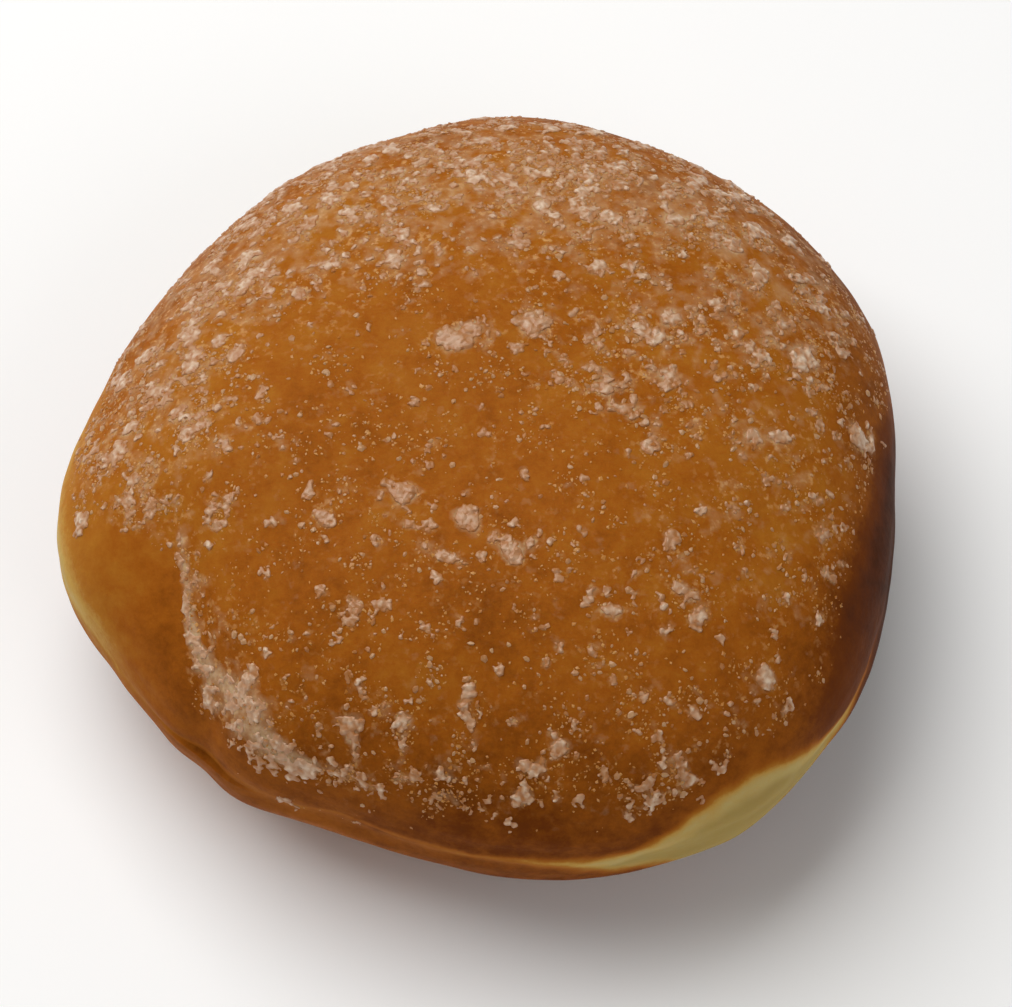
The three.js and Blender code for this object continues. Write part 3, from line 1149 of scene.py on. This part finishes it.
    def scatter(self, count: int, least: float, crowding: float = 1.0) -> tuple[Array, Array]:
        """Draws places on the sugared skin, more where the coat is denser.

        Args:
            count: How many places to draw.
            least: The density where the coat is thinnest, against 1 where it is thick.
            crowding: Above 1, the places keep more to where the coat is thick.

        Returns:
            The places, and the skin's outward direction at each.
        """
        corners = self.dough.vertices[self.dough.faces]
        across = np.cross(corners[:, 2] - corners[:, 0], corners[:, 3] - corners[:, 1])
        area = np.linalg.norm(across, axis=1)
        middles = corners.mean(axis=1) + self.dough.middle
        density = least + patch_sum(middles[:, 0], middles[:, 1], self.density) ** crowding
        uneven = unevenness(middles, self.gathering_mm, Pattern.COAT_PATCHES)
        patchy = self.gathering_least + self.gathering_gain * self.gathering.step(uneven)
        weight = area * density * patchy * self.dipped(middles)
        chosen = self.draw.choice(len(area), size=count, p=weight / weight.sum())
        u, v = self.draw.uniform(size=(2, count, 1))
        picked = corners[chosen]
        near = picked[:, 0] * (1 - u) + picked[:, 1] * u
        far = picked[:, 3] * (1 - u) + picked[:, 2] * u
        return near * (1 - v) + far * v, across[chosen] / area[chosen, None]

    def add_cluster(self, x: float, y: float, radius: float, melted: float, drag: float = 1.0) -> None:
        """Adds a cluster at a place seen from above.

        Args:
            x: The place in the form's own x.
            y: The place in the form's own y.
            radius: The cluster's radius.
            melted: How much of a film it leaves on the skin.
            drag: How much longer it was dragged down a slope that stands upright.
        """
        self.clusters.append(Cluster(*self.on_crown(x, y), radius, melted, drag))

    def place_lumps(self) -> None:
        """Places the lumps that can be told apart, each from several lobes, with satellites round it."""
        for lump in self.lumps:
            turn = math.radians(lump.turn)
            for _ in range(self.lobe_count):
                reach, angle = math.sqrt(self.draw.uniform()), self.draw.uniform(0, FULL_TURN)
                along = self.lobe_reach * lump.length * reach * math.cos(angle)
                aside = self.lobe_reach * lump.width * reach * math.sin(angle)
                x = lump.x + along * math.cos(turn) - aside * math.sin(turn)
                y = lump.y + along * math.sin(turn) + aside * math.cos(turn)
                radius = lump.width * self.lobe_radius.drawn(self.draw)
                self.add_cluster(x, y, radius, self.lobe_melted, drag=0.0)
            for _ in range(self.satellite_count):
                away = lump.length * self.satellite_reach.drawn(self.draw)
                angle = self.draw.uniform(0, FULL_TURN)
                x, y = lump.x + away * math.cos(angle), lump.y + away * math.sin(angle)
                self.add_cluster(x, y, self.satellite_radius.drawn(self.draw), self.satellite_melted)

    def place_bank(self) -> None:
        """Places the bank that caught along the crease: chips at its outer edge, melted sugar behind."""
        start, bend, end = np.array(self.bank_path)
        for share in np.linspace(0, 1, self.bank_chips):
            place = (1 - share) ** 2 * start + 2 * share * (1 - share) * bend + share**2 * end
            fullness = math.exp(-(((share - self.bank_widest) / self.bank_taper) ** 2))
            width = self.bank_widening * fullness
            inward = -place / np.linalg.norm(place)
            inset = inward * (self.bank_least_width + width) * self.draw.uniform() ** self.bank_crowding
            x, y = place + inset + self.bank_jitter.drawn(self.draw, 2)
            radius = self.bank_radius.drawn(self.draw) * (1 + share)
            self.add_cluster(x, y, radius, self.bank_melted)
            for depth in self.draw.uniform(size=self.smear_count):
                x, y = place + inward * (self.bank_least_width + width * depth)
                radius = self.smear_radius.at(fullness)
                self.smears.append(Cluster(*self.on_crown(x, y), radius, self.smear_melted))

    def place_trail(self) -> None:
        """Places the chips that lie along the coat's edge beyond the bank."""
        for degrees in np.linspace(*self.trail, self.trail_chips):
            angle = math.radians(degrees)
            distance = float(self.dough.waist_radius(np.array([angle]))[0]) * self.edge_share
            distance -= self.trail_width * self.draw.uniform() ** self.bank_crowding
            x, y = distance * math.cos(angle), distance * math.sin(angle)
            self.add_cluster(x, y, self.trail_radius.drawn(self.draw), self.trail_melted)

    def place_groups(self) -> None:
        """Places the small groups: an even spread over the crown, and strays where the coat is thick."""
        golden_angle = math.pi * (3 - math.sqrt(5))
        crease_limit = self.group_crease * self.dough.crease_depth
        for index in range(self.group_count):
            angle = index * golden_angle
            reach = self.group_reach * math.sqrt((index + 0.5) / self.group_count)
            distance = reach * float(self.dough.waist_radius(np.array([angle]))[0])
            x, y = distance * math.cos(angle), distance * math.sin(angle)
            point, normal = self.on_crown(x, y)
            bare = self.dipped(point[None] + self.dough.middle)[0] < 0.5
            if self.dough.crease(np.array([x]), np.array([y]))[0] < crease_limit and not bare:
                radius = self.group_radius.drawn(self.draw)
                self.clusters.append(Cluster(point, normal, radius, self.group_melted))
        for kind in self.strays:
            self.strew(kind)

    def strew(self, kind: Strays) -> None:
        """Strews clumps of one kind, and leaves out those that would run into a neighbour.

        Args:
            kind: The clumps' sizes and number, and how close they lie.
        """
        taken = np.array([[*cluster.point, cluster.radius] for cluster in self.clusters])
        points, normals = self.scatter(kind.tries, kind.least, kind.crowding)
        radii = kind.radius.at(self.draw.uniform(size=kind.tries) ** self.stray_smallness)
        for point, normal, radius in zip(points, normals, radii, strict=True):
            apart = np.linalg.norm(taken[:, :3] - point, axis=1)
            if (apart > kind.spacing * (taken[:, 3] + radius)).all():
                taken = np.vstack([taken, [*point, radius]])
                self.add_clump(Cluster(point, normal, radius, kind.melted), kind.lobes)

    def add_clump(self, clump: Cluster, lobes: int) -> None:
        """Adds a clump: one round cluster, or several that are strung out along a random direction.

        Args:
            clump: The clump as one cluster.
            lobes: How many clusters it is made of.
        """
        if lobes == 1:
            self.clusters.append(clump)
            return
        level, down = clump.tangents()
        turn = self.draw.uniform(0, FULL_TURN)
        along = level * math.cos(turn) + down * math.sin(turn)
        aside = down * math.cos(turn) - level * math.sin(turn)
        for _ in range(lobes):
            reach, angle = math.sqrt(self.draw.uniform()), self.draw.uniform(0, FULL_TURN)
            way = math.cos(angle) * along + self.clump_narrowing * math.sin(angle) * aside
            place = clump.point + self.clump_reach * clump.radius * reach * way
            point, normal, _, _ = self.dough.surface.find_nearest(Vector(place))
            radius = clump.radius * self.clump_lobe.drawn(self.draw)
            self.clusters.append(Cluster(np.array(point), np.array(normal), radius, clump.melted))

    def film_at(self, points: Array) -> Array:
        """How thick a film of sugar lies between the clumps, at points of the skin, with painted sheen along
        the far and left edges.
        """
        x, y, _ = (points + self.dough.middle).T
        return self.film_base + self.film_share * patch_sum(x, y, self.density) + patch_sum(x, y, self.haze)

    def melted_from(self, clusters: list[Cluster], points: Array) -> Array:
        """How much sugar clusters leave melted on the skin.

        Args:
            clusters: The clusters.
            points: Points of the skin.

        Returns:
            How thick the film is at each point.
        """
        film = np.zeros(len(points))
        for cluster in clusters:
            near = ((points - cluster.point) ** 2).sum(axis=1)
            film += cluster.melted * np.exp(-near / cluster.radius**2)
        return film

    def pack(self, cluster: Cluster) -> tuple[Array, Array, Array]:
        """Packs crystals into a cluster.

        Args:
            cluster: The cluster to fill.

        Returns:
            The crystals' middles, the skin's outward directions there, and the crystals' lengths.
        """
        count = max(self.fewest_packed, int(self.packing * math.pi * cluster.radius**2))
        reach = np.sqrt(self.draw.uniform(size=count))
        angle = self.draw.uniform(0, FULL_TURN, size=count)
        spread = cluster.radius * reach * np.array([np.cos(angle), np.sin(angle)])
        places = cluster.point + spread.T @ np.array(cluster.tangents())
        found = [self.dough.surface.find_nearest(Vector(place))[:2] for place in places]
        points, normals = (np.array(part) for part in zip(*found, strict=True))
        rise = self.pile_height * cluster.radius * (1 - reach**2) * self.draw.uniform(size=count)
        sizes = self.packed_mm.drawn(self.draw, count) * self.packed_growth.at(cluster.radius)
        return points + normals * (rise - self.pile_sink)[:, None], normals, sizes

    def build_lumps(self) -> bpy.types.Object:
        """Makes the lumps, the bank and the small groups, packed from crystals, and the film round them.

        Returns:
            The lumps.
        """
        self.place_lumps()
        self.place_bank()
        self.place_trail()
        self.place_groups()
        packed = [self.pack(cluster) for cluster in self.clusters]
        places, normals, sizes = (np.concatenate(part) for part in zip(*packed, strict=True))
        heap = Heap(CrystalForm.WORN, self.draw, self.lump_flatness)
        piece = heap.piece("sugar_lumps", places, normals, sizes)
        skin = self.dough.vertices
        smeared = self.melted_from(self.smears, skin)
        film = smeared + self.melted_from(self.clusters, skin) + self.film_at(skin)
        mark_corners(self.dough.piece, film=film * self.dipped(skin + self.dough.middle))
        self.melt(piece)
        self.cloud(piece, smeared)
        return self.dress(piece, self.lump_finish)

    def melt(self, piece: bpy.types.Object) -> None:
        """Melts a heap's crystals together where they touch.

        Args:
            piece: The heap.
        """
        modifier = piece.modifiers.new("melt", "REMESH")
        modifier.mode = "VOXEL"
        modifier.voxel_size = self.voxel * METRES
        thinning = piece.modifiers.new("thinning", "DECIMATE")
        thinning.ratio = self.kept_detail
        melted = piece.evaluated_get(bpy.context.evaluated_depsgraph_get())
        piece.data = bpy.data.meshes.new_from_object(melted)
        piece.modifiers.clear()

    def cloud(self, piece: bpy.types.Object, smeared: Array) -> None:
        """Clouds melted lumps where they lie thick, crystal by crystal, with painted shade in the seams and
        in the middle of the crown.

        Args:
            piece: The lumps.
            smeared: How thick sugar lies smeared at each corner of the dough.
        """
        places = np.empty(3 * len(piece.data.vertices), np.float32)
        piece.data.vertices.foreach_get("co", places)
        places = places.reshape(-1, 3) / METRES
        found = [self.dough.surface.find_nearest(Vector(place))[2:] for place in places]
        depth = np.array([distance for _, distance in found])
        below = smeared[self.dough.faces[[index for index, _ in found]]].mean(axis=1)
        # each crystal's brightness is partly painted light and shade of its faces, and its seams get painted
        # shade
        tones, inside = crystal_cells(places, self.crystal_mm)
        patchy = (self.crystal_tone + self.crystal_contrast * tones).clip(self.clearest_crystal, 1)
        patchy *= self.seam_shade + (1 - self.seam_shade) * self.seam.step(inside)
        x, y, _ = (places + self.dough.middle).T
        # painted shade: lumps in the middle of the crown are clouded less
        thick = self.clouding.step(depth) * patchy * (1 - patch_sum(x, y, self.lump_shade))
        even = self.smear_evenness + (1 - self.smear_evenness) * patchy
        mark_corners(piece, cloud=np.maximum(thick, self.smear_cloud * below.clip(0, 1) * even))

    def build_crystals(self) -> bpy.types.Object:
        """Makes the single crystals, half sunk in the skin.

        Returns:
            The crystals.
        """
        points, normals = self.scatter(self.crystal_count, self.crystal_density)
        sizes = self.crystal_size.at(self.draw.uniform(size=self.crystal_count) ** 2)
        places = points - self.crystal_sink * normals * sizes[:, None]
        heap = Heap(CrystalForm.WORN, self.draw, self.crystal_flatness)
        return self.dress(heap.piece("sugar_crystals", places, normals, sizes), self.crystal_finish)

    def build_grains(self) -> bpy.types.Object:
        """Makes the fine grains.

        Returns:
            The grains.
        """
        points, normals = self.scatter(self.grain_count, self.grain_density)
        sizes = self.grain_size.at(self.draw.uniform(size=self.grain_count) ** 2)
        heap = Heap(CrystalForm.SPLINTER, self.draw, self.grain_flatness)
        return self.dress(heap.piece("sugar_grains", points, normals, sizes), self.grain_finish)

    def dress(self, piece: bpy.types.Object, finish: GranulatedSugar) -> bpy.types.Object:
        """Gives a piece its finish and lets it ride on the part.

        Args:
            piece: The sugar's mesh.
            finish: The sugar's finish.

        Returns:
            The same piece.
        """
        piece.data.materials.append(finish.material())
        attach(piece, BODY)
        return piece


@dataclass(frozen=True)
class SoftLight:
    """A square soft light that faces the bun: where it hangs and its side, in mm, and its watts."""

    name: str
    place: tuple[float, float, float]
    side: float
    power: float

    def hang(self) -> None:
        """Hangs the light in the scene."""
        light = bpy.data.lights.new(self.name, "AREA")
        light.size = self.side * METRES
        light.energy = self.power
        lamp = bpy.data.objects.new(self.name, light)
        lamp.location = Vector(self.place) * METRES
        lamp.rotation_euler = (-lamp.location).to_track_quat("-Z", "Y").to_euler()
        bpy.context.scene.collection.objects.link(lamp)


@dataclass
class Studio:
    """A pale floor, soft light from above and the camera that looks down on the crown."""

    dough: Dough
    floor_radius: float = 2500.0
    floor_drop: float = 0.02  # below the foot, so that the two don't share a face
    floor_sides: int = 96
    sky_colour: str = "#f6f4f2"
    sky_strength: float = 0.22
    lights: tuple[SoftLight, ...] = (
        SoftLight("key", (-350, 330, 800), 900, 9.0),
        SoftLight("fill", (450, -450, 500), 500, 1.0),
    )
    image_width: int = 1012
    image_height: int = 1007
    axis_pixel: tuple[float, float] = (480.5, 494.0)  # where the middle of the waist lies in the photograph
    pixels_per_mm: float = 9.344
    elevation: float = 61.0
    distance: float = 500.0
    sensor: float = 36.0
    nearest: float = 0.01  # metres from the camera, before which nothing is drawn

    def floor(self) -> bpy.types.Object:
        """Makes the floor, a large round sheet of card.

        Returns:
            The floor.
        """
        angle = np.linspace(0, FULL_TURN, self.floor_sides, endpoint=False)
        x, y = self.floor_radius * np.cos(angle), self.floor_radius * np.sin(angle)
        rim = np.stack([x, y, np.full_like(angle, -self.floor_drop)], axis=1)
        piece = new_piece("floor", rim, np.arange(self.floor_sides)[None], True)
        piece.data.materials.append(MattCard().material())
        return piece

    def light(self) -> None:
        """Sets the soft studio light."""
        world = bpy.data.worlds.new("studio")
        bpy.context.scene.world = world
        world.use_nodes = True
        background = world.node_tree.nodes["Background"]
        background.inputs["Color"].default_value = linear(self.sky_colour)
        background.inputs["Strength"].default_value = self.sky_strength
        for light in self.lights:
            light.hang()
        bpy.context.scene.view_settings.view_transform = "Standard"

    def camera(self) -> None:
        """Sets the camera at the photograph's angle and framing."""
        lens = bpy.data.cameras.new("camera")
        lens.sensor_width = self.sensor
        lens.lens = self.pixels_per_mm * self.distance * self.sensor / self.image_width
        lens.shift_x = (self.image_width / 2 - self.axis_pixel[0]) / self.image_width
        lens.shift_y = (self.axis_pixel[1] - self.image_height / 2) / self.image_width
        lens.clip_start = self.nearest
        rise = math.radians(self.elevation)
        back = Vector((0, -math.cos(rise), math.sin(rise)))
        target = Vector((-self.dough.middle[0], -self.dough.middle[1], self.dough.waist_height))
        eye = bpy.data.objects.new("camera", lens)
        eye.location = (target + back * self.distance) * METRES
        eye.rotation_euler = (-back).to_track_quat("-Z", "Y").to_euler()
        bpy.context.scene.collection.objects.link(eye)
        bpy.context.scene.camera = eye


def main() -> None:
    """Builds the beignet, its sugar and the studio, and reports each piece."""
    logging.basicConfig(level=logging.INFO, format="%(name)s: %(message)s")
    dough = Dough()
    pieces = [dough.build()]
    coat = SugarCoat(dough)
    pieces += [coat.build_lumps(), coat.build_crystals(), coat.build_grains()]
    studio = Studio(dough)
    studio.floor()
    studio.light()
    studio.camera()
    for piece in pieces:
        piece.data.calc_loop_triangles()
        log.info("%s: %d triangles", piece.name, len(piece.data.loop_triangles))


if __name__ == "__main__":
    main()
